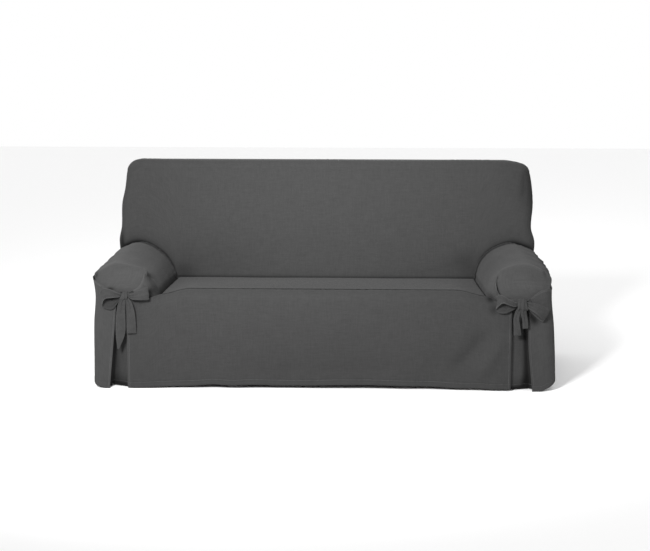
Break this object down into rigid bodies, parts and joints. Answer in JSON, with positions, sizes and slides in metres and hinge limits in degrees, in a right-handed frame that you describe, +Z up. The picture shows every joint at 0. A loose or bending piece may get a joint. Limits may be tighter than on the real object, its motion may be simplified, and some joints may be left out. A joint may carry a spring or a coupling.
{
  "type": "sofa slipcover",
  "caption": "Fitted cloth cover for a wide sofa, hollow below, with a skirt, pleated front corners, hemmed arm flaps and a bow on each arm.",
  "frame": {"origin": "on the floor, under the middle of the cover's width and depth", "axes": "+X runs to the right seen from the front, -Y is the way the seat faces, +Z is up"},
  "size_m": [2.102, 0.9632, 1.005],
  "materials": {
    "cover_cloth": "matt, dark charcoal grey plain weave with uneven threads",
    "tie_cloth": "the same cloth, folded and sewn into ties"
  },
  "bodies": {
    "root": {"inside_back": "cover_cloth", "outer_back": "cover_cloth", "seat_top": "cover_cloth", "front_skirt": "cover_cloth", "arm_top_left": "cover_cloth", "arm_top_right": "cover_cloth", "arm_outer_left": "cover_cloth", "arm_outer_right": "cover_cloth", "pleat_left": "cover_cloth", "pleat_right": "cover_cloth", "tie_inner_left": "tie_cloth", "tie_inner_right": "tie_cloth", "tie_outer_left": "tie_cloth", "tie_outer_right": "tie_cloth"}
  },
  "joints": []
}
